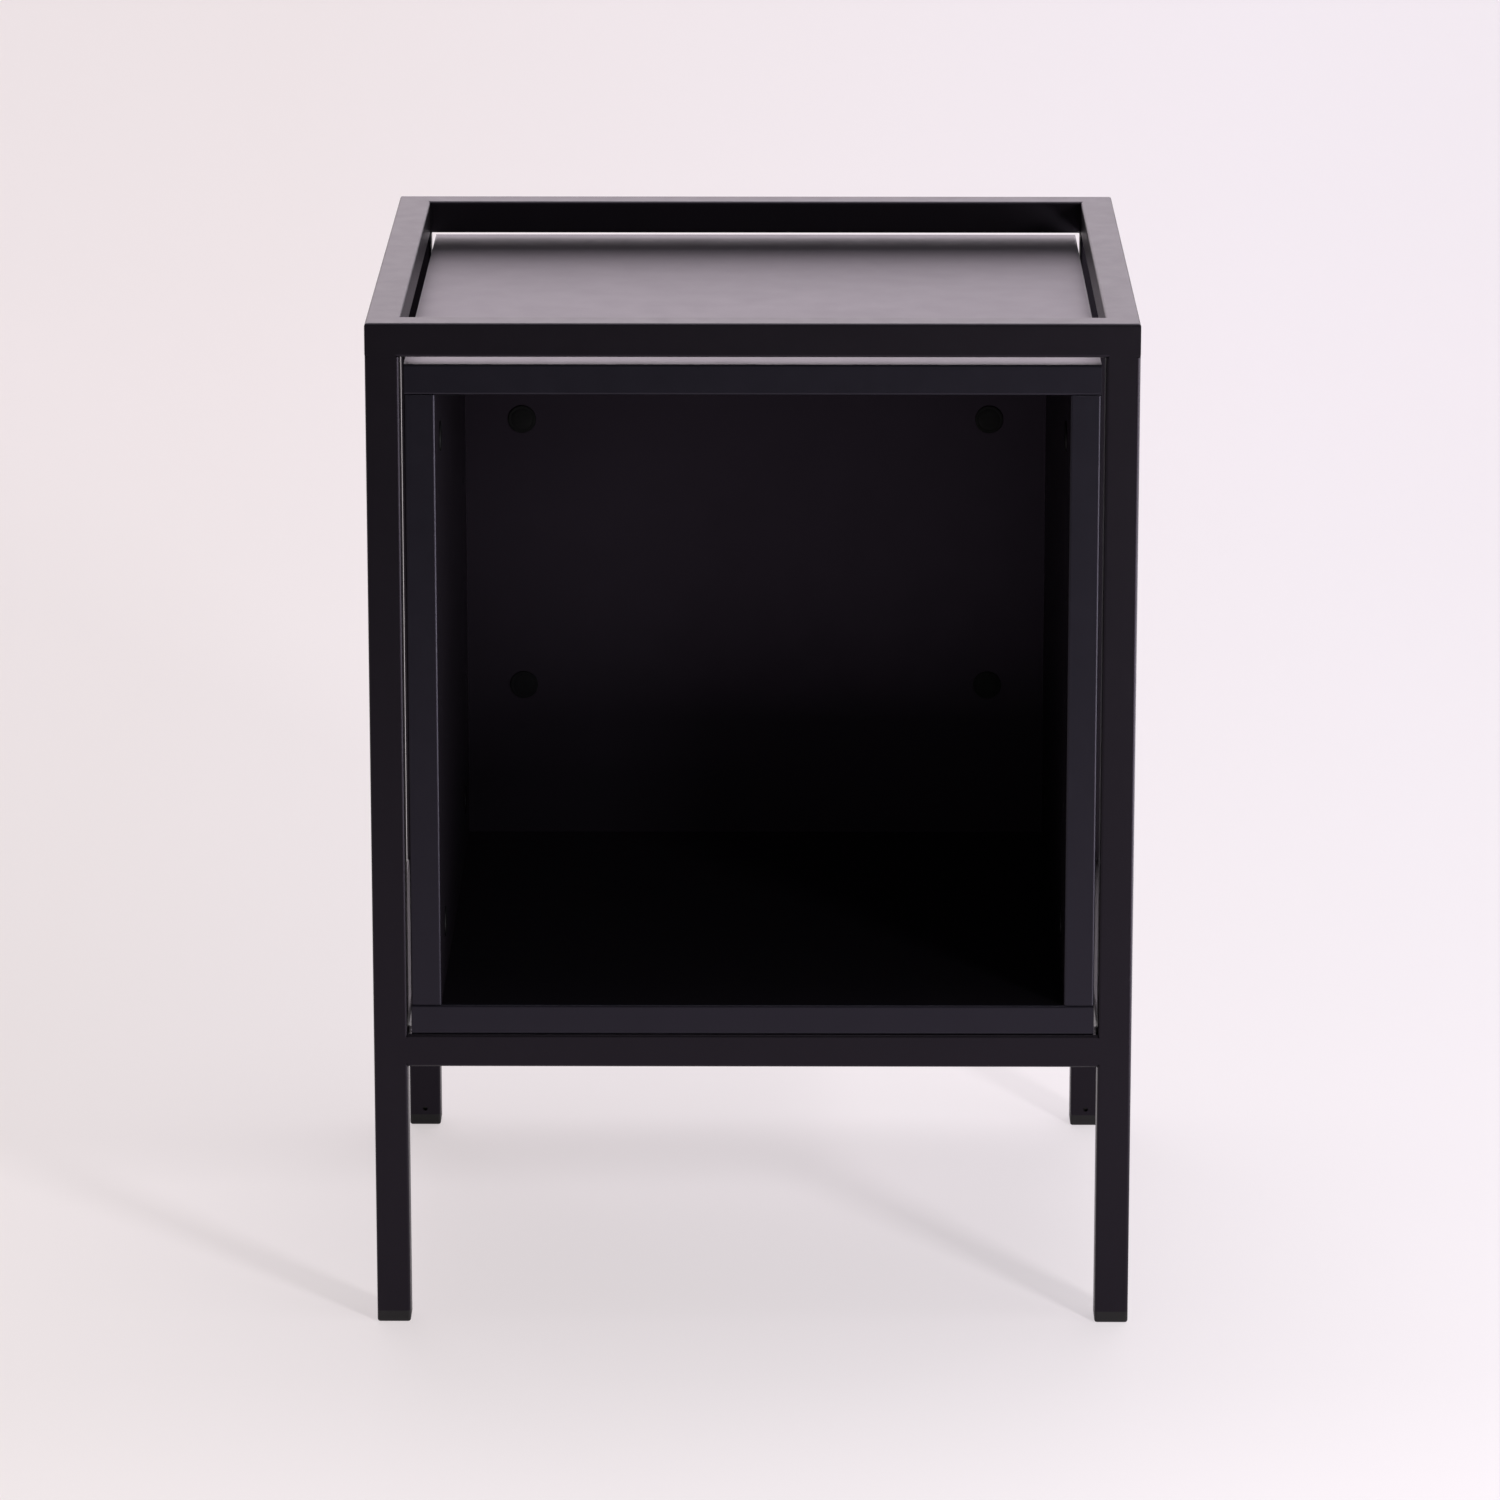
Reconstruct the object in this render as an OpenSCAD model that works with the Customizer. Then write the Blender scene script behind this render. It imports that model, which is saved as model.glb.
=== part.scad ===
// Low display case on legs: an open-fronted case of faced boards, held inside a welded
// frame of square steel tube. The upper rails stand proud of the case and make a tray.
// Millimetres. X runs left to right, Y front to back, Z up. The origin is on the floor,
// under the middle of the frame.

/* [Frame] */
// Overall width of the frame, left to right
frame_w = 450; // [360:5:600]
// Overall depth of the frame, front to back
frame_d = 410; // [320:5:520]
// Overall height of the frame above the floor
frame_h = 610; // [520:5:800]
// Height of the lower rails' underside above the floor
leg_clear = 160; // [80:5:220]
// Outside size of the square tube
tube = 20; // [18:1:30]
// Wall thickness of the tube
tube_wall = 1.5; // [1.2:0.1:2.2]
// Outside corner radius of the tube
tube_r = 1.8; // [0.8:0.1:2.5]
// Leg length of the small weld fillets in the inside corners
weld_leg = 2; // [1.2:0.1:2.4]

/* [Feet] */
// Height of a foot plug's head, which shows below the tube
foot_head = 7; // [4:1:12]
// Bevel round the underside of a foot plug's head
foot_bevel = 1.5; // [0.5:0.1:2.5]
// Depth of a foot plug's stem inside the tube
foot_stem = 16; // [12:1:25]
// Diameter of the vent hole above each foot
vent_d = 3; // [2:0.5:4]

/* [Case] */
// Thickness of the faced boards
board = 18; // [16:1:22]
// Gap between the case and the frame on its left and right sides
side_gap = 2.5; // [2.5:0.5:6]
// Gap between the case and the upper rails
top_gap = 4.5; // [3:0.5:10]
// Distance of the case behind the frame's front and back faces
face_setback = 1; // [0:0.5:4]
// Thickness of the edge bands on the front edges
front_band = 2; // [1:0.5:3]
// Radius on the long edges of the front bands
front_band_r = 1.5; // [0.5:0.1:2]
// Thickness of the edge bands on the side and back edges
plain_band = 1; // [0.5:0.1:2]

/* [Shelf holes] */
// Diameter of the shelf pin holes
pin_d = 5; // [3:0.5:6]
// Depth of the shelf pin holes
pin_depth = 12; // [8:1:13]
// Vertical distance from one shelf pin hole to the next
pin_pitch = 64; // [32:32:96]
// Height of the lowest shelf pin hole above the case's floor
pin_first = 48; // [40:1:80]
// Distance of each row of pin holes from the front face and from the back panel
pin_inset = 37; // [30:1:50]

/* [Joint fittings] */
// Diameter of a cam lock
cam_d = 15; // [12:1:16]
// Depth of a cam lock's seat in its board
cam_depth = 13; // [11:0.5:13.5]
// Distance of a cam lock's centre from the edge of its board
cam_edge = 36; // [24:1:40]
// Distance of the side panels' cam locks from the front face and from the back panel
cam_inset = 55; // [48:1:80]
// Height of the back panel's cam locks above and below its middle
cam_rise = 87; // [60:1:110]
// Diameter of the cover on each cam lock
cover_d = 18; // [17:0.5:22]
// Thickness of the cover on each cam lock
cover_t = 1; // [0.6:0.1:1.6]
// Diameter of the wooden dowels
dowel_d = 8; // [6:1:8]
// Length of the wooden dowels
dowel_len = 30; // [25:1:35]

/* [Case screws] */
// Diameter of the screws that hold the case down on the lower rails
screw_d = 4; // [3.5:0.5:5]
// Distance of those screws from the frame's left and right sides
screw_inset = 75; // [50:5:110]
// Diameter of the holes in the lower rails' undersides that the screws go in through
access_d = 10; // [9:1:12]

/* [Hidden] */
$fn = 48;

// Clearance between a fitting and its hole, on the radius
fit = 0.1;
// Clearance between weld metal and the round corner that it lies against
weld_ease = 0.05;
// A cut runs this far past the face that it opens
past = 1;

// Frame
half_w = frame_w / 2;
half_d = frame_d / 2;
tube_in = tube - 2 * tube_wall;
tube_in_r = max(tube_r - tube_wall, 0.4);
post_x = half_w - tube / 2;
post_y = half_d - tube / 2;
open_x = half_w - tube;
open_y = half_d - tube;
low_rail_top = leg_clear + tube;
top_rail_under = frame_h - tube;
vent_z = foot_head + 4;

// Case, as the outside of the edge bands
case_x = open_x - side_gap;
case_y = half_d - face_setback;
case_z0 = low_rail_top;
case_z1 = top_rail_under - top_gap;

// Boards inside their bands, and the space between them
board_x = case_x - plain_band;
board_y0 = -case_y + front_band;
board_y1 = case_y - plain_band;
inner_x = case_x - board;
inner_z0 = case_z0 + board;
inner_z1 = case_z1 - board;
inner_mid_z = (inner_z0 + inner_z1) / 2;
inner_h = inner_z1 - inner_z0;
back_y = case_y - board;

// Shelf pin holes
pin_count = floor((inner_h - pin_first - cam_edge - cover_d) / pin_pitch) + 1;
pin_rows = [-case_y + pin_inset, back_y - pin_inset];

// Cam locks: those of the side panels hold the top and bottom, those of the back hold it
// between the sides
cam_rows = [-case_y + cam_inset, back_y - cam_inset];
cam_side_z = [inner_z0 + cam_edge, inner_z1 - cam_edge];
cam_back_x = inner_x - cam_edge;
cam_back_z = [inner_mid_z - cam_rise, inner_mid_z + cam_rise];
cam_body_d = cam_d - 2 * fit;
cam_body_t = cam_depth - 2 * fit;
cam_key_d = 4;
cam_key_t = 3;
bolt_shank_d = 6;
bolt_thread_d = 5;
bolt_thread = 11;
bolt_head_d = 7;
bolt_head_t = 3;
bolt_neck_d = 4;
bolt_neck = 2;
bolt_hole_d = 8;

// Dowels stand beside the cam locks, one step further in
dowel_step = 32;
dowel_rows = [cam_rows[0] + dowel_step, cam_rows[1] - dowel_step];
dowel_in_face = 12;
dowel_spare = 0.5;
dowel_back_x = inner_x / 2;

// Case screws, whose heads bear on the inside of the lower rails' upper walls
screw_x = half_w - screw_inset;
screw_seat_z = low_rail_top - tube_wall;
screw_head_d = 7.5;
screw_head_t = 2.4;
screw_bite = 13;

steel_black = [0.07, 0.07, 0.08];
board_black = [0.09, 0.09, 0.10];
plastic_black = [0.12, 0.12, 0.13];
zinc = [0.62, 0.63, 0.65];
beech = [0.78, 0.62, 0.42];

// ---- Profiles and helpers ----

// A square of side s with round corners of radius r
module round_square(s, r) {
    square([s - 2 * r, s], center = true);
    square([s, s - 2 * r], center = true);
    for (x = [-1, 1], y = [-1, 1])
        translate([x * (s / 2 - r), y * (s / 2 - r)]) circle(r);
}

// The tube's cross-section
module tube_section() {
    difference() {
        round_square(tube, tube_r);
        round_square(tube_in, tube_in_r);
    }
}

// A length of tube along X, centred on the origin
module tube_along_x(length) {
    rotate([0, 90, 0]) linear_extrude(length, center = true) tube_section();
}

// A length of tube along Y, centred on the origin
module tube_along_y(length) {
    rotate([90, 0, 0]) linear_extrude(length, center = true) tube_section();
}

// A box from its lowest to its highest corner
module span(low, high) {
    translate(low) cube(high - low);
}

// A round bar of radius r from point a, of the given length, along +X, +Y or +Z
module bar_x(r, length) { rotate([0, 90, 0]) cylinder(r = r, h = length); }
module bar_y(r, length) { rotate([-90, 0, 0]) cylinder(r = r, h = length); }

// The children once as they are, and once mirrored left to right
module both_sides() {
    children();
    mirror([1, 0, 0]) children();
}

// The children in all four corners of the plan
module four_corners() {
    both_sides() {
        children();
        mirror([0, 1, 0]) children();
    }
}

// ---- Frame ----

// One post in the back right corner, with its vent hole in the face towards the inside
module post() {
    color(steel_black) difference() {
        translate([post_x, post_y, foot_head])
            linear_extrude(top_rail_under - foot_head) tube_section();
        translate([post_x, open_y - past, vent_z]) bar_y(vent_d / 2, tube_wall + 2 * past);
    }
}

// The back rail of the upper ring, mitred at both ends
module top_rail_x() {
    color(steel_black) intersection() {
        translate([0, post_y, frame_h - tube / 2]) tube_along_x(frame_w);
        translate([0, 0, top_rail_under - past]) linear_extrude(tube + 2 * past)
            polygon([[-half_w, half_d], [half_w, half_d], [open_x, open_y], [-open_x, open_y]]);
    }
}

// The right rail of the upper ring, mitred at both ends
module top_rail_y() {
    color(steel_black) intersection() {
        translate([post_x, 0, frame_h - tube / 2]) tube_along_y(frame_d);
        translate([0, 0, top_rail_under - past]) linear_extrude(tube + 2 * past)
            polygon([[half_w, -half_d], [half_w, half_d], [open_x, open_y], [open_x, -open_y]]);
    }
}

// The back lower rail, between the posts. Its upper wall is drilled for the case's screws, and
// its lower wall is drilled wider to let them in
module low_rail_x() {
    color(steel_black) difference() {
        translate([0, post_y, leg_clear + tube / 2]) tube_along_x(2 * open_x);
        both_sides() translate([screw_x, post_y, 0]) {
            translate([0, 0, screw_seat_z - past])
                cylinder(d = screw_d + 4 * fit, h = tube_wall + 2 * past);
            translate([0, 0, leg_clear - past]) cylinder(d = access_d, h = tube_wall + 2 * past);
        }
    }
}

// The right lower rail, between the posts
module low_rail_y() {
    color(steel_black) translate([post_x, 0, leg_clear + tube / 2]) tube_along_y(2 * open_y);
}

// Weld metal that fills the groove beside a round tube corner: a square less a quarter round
module groove_fill(length) {
    linear_extrude(length) difference() {
        square(tube_r);
        translate([tube_r, 0]) circle(tube_r + weld_ease);
    }
}

// A hollow fillet of weld metal in an inside corner
module corner_fillet(length) {
    linear_extrude(length) difference() {
        square(weld_leg);
        translate([weld_leg, weld_leg]) circle(weld_leg);
    }
}

// The welds of one rail that runs along X into the back right post. z is the rail's
// underside, and the fillets lie under it, and above it too where above is true
module rail_welds(z, above) {
    fillet_y = half_d - tube_r;
    fillet_len = tube - 2 * tube_r;
    if (above) translate([open_x, fillet_y, z + tube])
        rotate([90, 0, 0]) mirror([1, 0, 0]) corner_fillet(fillet_len);
    translate([open_x, fillet_y, z])
        rotate([90, 0, 0]) mirror([1, 0, 0]) mirror([0, 1, 0]) corner_fillet(fillet_len);
}

// All the welds of the back face of the back right corner
module face_welds() {
    rail_welds(leg_clear, true);
    rail_welds(top_rail_under, false);
    // Flush seam between the lower rail and the post
    translate([open_x, half_d - tube_r, leg_clear + tube_r]) groove_fill(tube - 2 * tube_r);
    // Flush seam between the post and the upper rail
    translate([half_w - tube_r, half_d - tube_r, top_rail_under])
        rotate([0, -90, 0]) groove_fill(tube - 2 * tube_r);
}

// Swaps X and Y about the post's own diagonal, which turns one face's welds into the other's
module across_diagonal() {
    translate([post_x, post_y, 0]) mirror([1, -1, 0]) translate([-post_x, -post_y, 0]) children();
}

module weld_beads() {
    color(steel_black) four_corners() {
        face_welds();
        across_diagonal() face_welds();
    }
}

// The plug in the bottom of the back right post: a head as wide as the tube, and a ribbed stem
module foot() {
    rib_t = 1;
    rib_step = (foot_stem - 2) / 3;
    stem = tube_in - 3;
    color(plastic_black) translate([post_x, post_y, 0]) {
        intersection() {
            linear_extrude(foot_head) round_square(tube, tube_r);
            rotate([90, 0, 0]) linear_extrude(2 * tube, center = true) foot_outline();
            rotate([90, 0, 90]) linear_extrude(2 * tube, center = true) foot_outline();
        }
        translate([-stem / 2, -stem / 2, foot_head]) cube([stem, stem, foot_stem]);
        for (i = [1:3]) translate([0, 0, foot_head + i * rib_step - rib_t])
            linear_extrude(rib_t) round_square(tube_in - 2 * fit, tube_in_r);
    }
}

// A foot head seen from the side, with its underside bevelled
module foot_outline() {
    half = tube / 2;
    polygon([
        [-half + foot_bevel, 0], [half - foot_bevel, 0], [half, foot_bevel],
        [half, foot_head], [-half, foot_head], [-half, foot_bevel]
    ]);
}

// ---- Case ----

// The holes for one cam lock in its own board. The seat opens at the origin towards +X, and
// the bolt comes in from +Z, at the middle of the board
module cam_seat() {
    translate([-cam_depth, 0, 0]) bar_x(cam_d / 2, cam_depth + past);
    translate([-board / 2, 0, -bolt_head_t])
        cylinder(d = bolt_hole_d, h = cam_edge + bolt_head_t + past);
}

// One cam lock, placed as its seat is
module cam_lock() {
    difference() {
        translate([-cam_depth + fit, 0, 0]) bar_x(cam_body_d / 2, cam_body_t);
        translate([-board / 2, 0, -bolt_head_t]) cylinder(d = bolt_hole_d, h = cam_d);
        translate([-cam_key_t, 0, 0]) bar_x(cam_key_d / 2, cam_key_t + past);
    }
}

// The cover on one cam lock: a thin disc with a round edge, and a key that holds it
module cam_cover() {
    edge = cover_t * 0.6;
    rotate([0, 90, 0]) {
        rotate_extrude() {
            square([cover_d / 2 - edge, cover_t]);
            square([cover_d / 2, cover_t - edge]);
            translate([cover_d / 2 - edge, cover_t - edge]) intersection() {
                circle(edge);
                square(edge);
            }
        }
        translate([0, 0, fit - cam_key_t]) cylinder(d = cam_key_d - 2 * fit, h = cam_key_t - fit);
    }
}

// The bolt that one cam lock pulls on, with its thread in the board beyond the joint
module cam_bolt() {
    translate([-board / 2, 0, 0]) {
        translate([0, 0, -bolt_head_t / 2]) cylinder(d = bolt_head_d, h = bolt_head_t);
        cylinder(d = bolt_neck_d, h = bolt_head_t / 2 + bolt_neck);
        translate([0, 0, bolt_head_t / 2 + bolt_neck])
            cylinder(d = bolt_shank_d, h = cam_edge - bolt_head_t / 2 - bolt_neck);
        translate([0, 0, cam_edge]) cylinder(d = bolt_thread_d, h = bolt_thread);
    }
}

// Puts the children at every cam lock of the right side panel, or mirrored on the left
module at_side_cams() {
    for (y = cam_rows) {
        translate([inner_x, y, cam_side_z[1]]) mirror([1, 0, 0]) children();
        translate([inner_x, y, cam_side_z[0]]) mirror([0, 0, 1]) mirror([1, 0, 0]) children();
    }
}

// Puts the children at the right-hand cam locks of the back panel
module at_back_cams() {
    for (z = cam_back_z)
        translate([cam_back_x, back_y, z]) rotate([0, 90, 0]) rotate([0, 0, -90]) children();
}

// The children at all twelve cam locks
module at_all_cams() {
    both_sides() {
        at_side_cams() children();
        at_back_cams() children();
    }
}

// Holes that the bolts and dowels need in the inside face of the top and bottom panels. The
// face is at z, and the holes go into it along direction up, which is 1 or -1
module face_holes(z, up) {
    depth = dowel_in_face + dowel_spare;
    both_sides() {
        for (y = cam_rows)
            translate([inner_x + board / 2, y, z]) hole_z(bolt_thread_d + 2 * fit, bolt_thread + fit, up);
        for (y = dowel_rows)
            translate([inner_x + board / 2, y, z]) hole_z(dowel_d + 2 * fit, depth, up);
        translate([dowel_back_x, back_y + board / 2, z]) hole_z(dowel_d + 2 * fit, depth, up);
    }
}

// A round hole of the given depth along Z from the origin, upwards or downwards, and a
// little way past its mouth
module hole_z(d, depth, up) {
    translate([0, 0, up > 0 ? -past : -depth]) cylinder(d = d, h = depth + past);
}

module case_top() {
    color(board_black) difference() {
        span([-board_x, board_y0, inner_z1], [board_x, board_y1, case_z1]);
        face_holes(inner_z1, 1);
    }
}

module case_bottom() {
    color(board_black) difference() {
        span([-board_x, board_y0, case_z0], [board_x, board_y1, inner_z0]);
        face_holes(inner_z0, -1);
        four_corners() translate([screw_x, post_y, case_z0])
            hole_z(screw_d + 2 * fit, screw_bite + fit, 1);
    }
}

// The right side panel, with its cam seats, dowel holes, shelf pin holes and the holes that
// take the back panel's bolts
module case_side() {
    dowel_depth = dowel_len - dowel_in_face + dowel_spare;
    color(board_black) difference() {
        span([inner_x, board_y0, inner_z0], [case_x, board_y1, inner_z1]);
        at_side_cams() cam_seat();
        for (y = dowel_rows) translate([inner_x + board / 2, y, 0]) {
            translate([0, 0, inner_z0]) hole_z(dowel_d + 2 * fit, dowel_depth, 1);
            translate([0, 0, inner_z1]) hole_z(dowel_d + 2 * fit, dowel_depth, -1);
        }
        for (y = pin_rows, i = [0:pin_count - 1])
            translate([inner_x - past, y, inner_z0 + pin_first + i * pin_pitch])
                bar_x(pin_d / 2, pin_depth + past);
        for (z = cam_back_z) translate([inner_x - past, back_y + board / 2, z])
            bar_x(bolt_thread_d / 2 + fit, bolt_thread + fit + past);
    }
}

// The back panel, between the sides and between the top and the bottom
module case_back() {
    dowel_depth = dowel_len - dowel_in_face + dowel_spare;
    color(board_black) difference() {
        span([-inner_x, back_y, inner_z0], [inner_x, case_y, inner_z1]);
        both_sides() {
            at_back_cams() cam_seat();
            translate([dowel_back_x, back_y + board / 2, 0]) {
                translate([0, 0, inner_z0]) hole_z(dowel_d + 2 * fit, dowel_depth, 1);
                translate([0, 0, inner_z1]) hole_z(dowel_d + 2 * fit, dowel_depth, -1);
            }
        }
    }
}

// A front band's cross-section: as wide as a board, with its two outer edges rounded. Y is 0
// at the band's front
module band_section() {
    intersection() {
        translate([-board / 2, 0]) square([board, front_band]);
        translate([0, board / 2]) round_square(board, front_band_r);
    }
}

// The band on the front edge of the top or bottom panel, whose middle height is z
module front_band_flat(z) {
    color(plastic_black) translate([-case_x, -case_y, z])
        rotate([0, 90, 0]) linear_extrude(2 * case_x) band_section();
}

// The band on the front edge of the right side panel
module front_band_side() {
    color(plastic_black) translate([inner_x + board / 2, -case_y, inner_z0])
        linear_extrude(inner_h) band_section();
}

// The bands on the left and right ends of the top and bottom panels
module end_bands() {
    color(plastic_black) both_sides() for (z = [case_z0, inner_z1])
        span([board_x, board_y0, z], [case_x, board_y1, z + board]);
}

// The bands on the back edges of the top and bottom panels
module back_bands_flat() {
    color(plastic_black) for (z = [case_z0, inner_z1])
        span([-case_x, board_y1, z], [case_x, case_y, z + board]);
}

// The bands on the back edges of the side panels
module back_bands_side() {
    color(plastic_black) both_sides()
        span([inner_x, board_y1, inner_z0], [case_x, case_y, inner_z1]);
}

// ---- Fittings ----

module cam_locks() { color(zinc) at_all_cams() cam_lock(); }
module cam_covers() { color(plastic_black) at_all_cams() cam_cover(); }
module cam_bolts() { color(zinc) at_all_cams() cam_bolt(); }

module dowels() {
    color(beech) both_sides() for (z = [inner_z0 - dowel_in_face, inner_z1 + dowel_in_face - dowel_len]) {
        for (y = dowel_rows) translate([inner_x + board / 2, y, z]) cylinder(d = dowel_d, h = dowel_len);
        translate([dowel_back_x, back_y + board / 2, z]) cylinder(d = dowel_d, h = dowel_len);
    }
}

// A screw with a domed head, from the inside of a rail's upper wall into the case's bottom
module case_screw() {
    reach = tube_wall + screw_bite;
    dome = (pow(screw_head_d / 2, 2) + pow(screw_head_t, 2)) / (2 * screw_head_t);
    cylinder(d = screw_d, h = reach);
    intersection() {
        translate([0, 0, dome - screw_head_t]) sphere(dome);
        translate([0, 0, -screw_head_t]) cylinder(d = 2 * screw_head_d, h = screw_head_t);
    }
}

module case_screws() {
    color(zinc) four_corners() translate([screw_x, post_y, screw_seat_z]) case_screw();
}

// ---- Nodes ----

post();  // post_back_right
mirror([1, 0, 0]) post();  // post_back_left
mirror([0, 1, 0]) post();  // post_front_right
mirror([1, 0, 0]) mirror([0, 1, 0]) post();  // post_front_left
top_rail_x();  // top_rail_back
mirror([0, 1, 0]) top_rail_x();  // top_rail_front
top_rail_y();  // top_rail_right
mirror([1, 0, 0]) top_rail_y();  // top_rail_left
low_rail_x();  // low_rail_back
mirror([0, 1, 0]) low_rail_x();  // low_rail_front
low_rail_y();  // low_rail_right
mirror([1, 0, 0]) low_rail_y();  // low_rail_left
weld_beads();
foot();  // foot_back_right
mirror([1, 0, 0]) foot();  // foot_back_left
mirror([0, 1, 0]) foot();  // foot_front_right
mirror([1, 0, 0]) mirror([0, 1, 0]) foot();  // foot_front_left
case_top();
case_bottom();
case_side();  // case_right
mirror([1, 0, 0]) case_side();  // case_left
case_back();
front_band_flat(inner_z1 + board / 2);  // front_band_top
front_band_flat(case_z0 + board / 2);  // front_band_bottom
front_band_side();  // front_band_right
mirror([1, 0, 0]) front_band_side();  // front_band_left
end_bands();
back_bands_flat();
back_bands_side();
cam_locks();
cam_covers();
cam_bolts();
dowels();
case_screws();
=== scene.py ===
"""Looks and stage for a low open display case in a welded frame of square steel tube."""
from math import pi, radians

import bpy
import numpy as np
from bpy.props import FloatProperty, FloatVectorProperty, IntProperty, PointerProperty
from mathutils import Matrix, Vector


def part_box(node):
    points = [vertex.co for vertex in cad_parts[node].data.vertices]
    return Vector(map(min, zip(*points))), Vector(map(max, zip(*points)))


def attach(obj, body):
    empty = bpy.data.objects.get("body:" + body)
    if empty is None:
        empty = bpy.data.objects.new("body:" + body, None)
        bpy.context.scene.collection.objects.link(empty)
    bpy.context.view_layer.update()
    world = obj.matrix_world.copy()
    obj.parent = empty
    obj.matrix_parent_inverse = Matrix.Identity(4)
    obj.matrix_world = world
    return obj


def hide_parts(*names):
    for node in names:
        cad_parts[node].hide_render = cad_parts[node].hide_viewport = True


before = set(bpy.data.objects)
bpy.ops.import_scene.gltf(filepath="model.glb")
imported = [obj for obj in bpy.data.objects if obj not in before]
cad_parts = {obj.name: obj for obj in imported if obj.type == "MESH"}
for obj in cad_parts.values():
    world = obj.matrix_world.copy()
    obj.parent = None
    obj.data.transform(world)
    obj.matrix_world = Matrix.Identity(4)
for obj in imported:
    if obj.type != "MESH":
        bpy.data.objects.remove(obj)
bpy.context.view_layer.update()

bl_info = {
    "name": "Open Display Case",
    "version": (1, 0, 0),
    "blender": (4, 5, 0),
    "location": "View3D > Sidebar > Display Case",
    "description": "Builds the visible pieces, finishes and stage of an open display case",
    "category": "Add Mesh",
}

BODY = "root"
CORNERS = {"front_left": (-1, -1), "front_right": (1, -1), "back_left": (-1, 1), "back_right": (1, 1)}
RIGHT, BACK, UP = (1, 0, 0), (0, 1, 0), (0, 0, 1)
FRONT, DOWN = (0, -1, 0), (0, 0, -1)
SMOOTH_BELOW = radians(38)


# ---- Settings ----

def length(name, description, default, low=0.0, high=1.0):
    """A property that holds a distance in metres."""
    return FloatProperty(name=name, description=description, default=default, min=low, max=high,
                         precision=5, unit="LENGTH")


def share(name, description, default):
    """A property that holds a share from 0 to 1."""
    return FloatProperty(name=name, description=description, default=default, min=0.0, max=1.0,
                         subtype="FACTOR")


def colour(name, description, default):
    """A property that holds a linear colour."""
    return FloatVectorProperty(name=name, description=description, default=default, size=3,
                               min=0.0, max=1.0, subtype="COLOR")


class FrameSettings(bpy.types.PropertyGroup):
    """Sizes and finish of the steel frame and its feet."""

    tube_radius: length("Tube corner radius", "Radius of the tube's long outside edges", 0.0018)
    wall: length("Tube wall", "Thickness of the tube's wall", 0.0015)
    bore_radius: length("Bore radius", "Least radius of the tube's inside corners", 0.0004)
    arc_steps: IntProperty(name="Arc steps", description="Facets in each quarter round",
                           default=8, min=2, max=24)
    vent_radius: length("Vent radius", "Radius of the hole above each foot", 0.0015)
    vent_rise: length("Vent rise", "Height of the hole's centre above the tube's lower end", 0.004)
    weld_leg: length("Weld leg", "Leg length of the fillets in the inside corners", 0.002)
    weld_ripple: length("Weld ripple", "Distance from one ripple of a weld to the next", 0.0016)
    foot_round: length("Foot edge", "Radius round the underside of a foot plug", 0.0016)
    foot_corner: length("Foot corner", "Least radius of a plug head's upright corners", 0.0005)
    stem_corner: length("Stem corner", "Radius of the upright corners of a plug's stem", 0.0008)
    stem_gap: length("Stem gap", "Room between a plug's core and the tube", 0.0015)
    rib_play: length("Rib play", "Room between a plug's ribs and the tube", 0.0001)
    rib_thickness: length("Rib thickness", "Height of each rib on a plug's stem", 0.001)
    coat_colour: colour("Powder coat", "Colour of the powder coat", (0.0030, 0.0024, 0.0031))
    coat_roughness: share("Powder coat roughness", "Roughness of the powder coat", 0.41)
    coat_tint: colour("Powder coat tint", "Tint of what the powder coat mirrors", (0.88, 0.76, 1.0))
    foot_colour: colour("Foot plastic", "Colour of the foot plugs", (0.007, 0.0062, 0.007))


class CaseSettings(bpy.types.PropertyGroup):
    """Sizes and finish of the case's boards, edge bands and fittings."""

    band_radius: length("Band edge radius", "Radius on a front band's long edges", 0.0015)
    seam: length("Seam", "Size of the eased end that shows as a seam between two bands", 0.00025)
    cam_edge: length("Cam edge distance", "Distance of a cam lock from its board's edge", 0.036)
    cam_inset: length("Cam inset", "Distance of the side cams from the front and the back", 0.055)
    cam_rise: length("Cam rise", "Height of the back cams above and below the middle", 0.087)
    cover_radius: length("Cover radius", "Radius of the cover on a cam lock", 0.009)
    cover_thickness: length("Cover thickness", "Thickness of the cover on a cam lock", 0.001)
    screw_inset: length("Screw inset", "Distance of the case screws from the frame's sides", 0.075)
    screw_radius: length("Screw radius", "Radius of a case screw's shank", 0.002)
    head_radius: length("Screw head radius", "Radius of a case screw's head", 0.00375)
    head_height: length("Screw head height", "Height of a case screw's head", 0.0024)
    screw_play: length("Screw play", "Room round a case screw in its rail", 0.0002)
    access_radius: length("Access radius", "Radius of the holes that the case screws go in by", 0.005)
    board_colour: colour("Board", "Colour of the faced boards", (0.0026, 0.0022, 0.0030))
    board_roughness: share("Board roughness", "Roughness of the faced boards", 0.42)
    board_tint: colour("Board tint", "Tint of what the boards mirror", (0.9, 0.72, 1.0))
    band_tint: colour("Edge band tint", "Tint of what the edge bands mirror", (0.84, 0.76, 1.0))
    band_colour: colour("Edge band", "Colour of the edge bands", (0.0042, 0.0038, 0.0056))
    band_roughness: share("Edge band roughness", "Roughness of the edge bands", 0.36)
    cover_colour: colour("Cover", "Colour of the cam covers", (0.0012, 0.0011, 0.0016))
    cam_colour: colour("Cam metal", "Colour of the cam locks", (0.55, 0.55, 0.57))
    bolt_colour: colour("Bolt steel", "Colour of the bolts and screws", (0.6, 0.6, 0.62))
    dowel_colour: colour("Dowel wood", "Colour of the dowels", (0.62, 0.42, 0.24))


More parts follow.
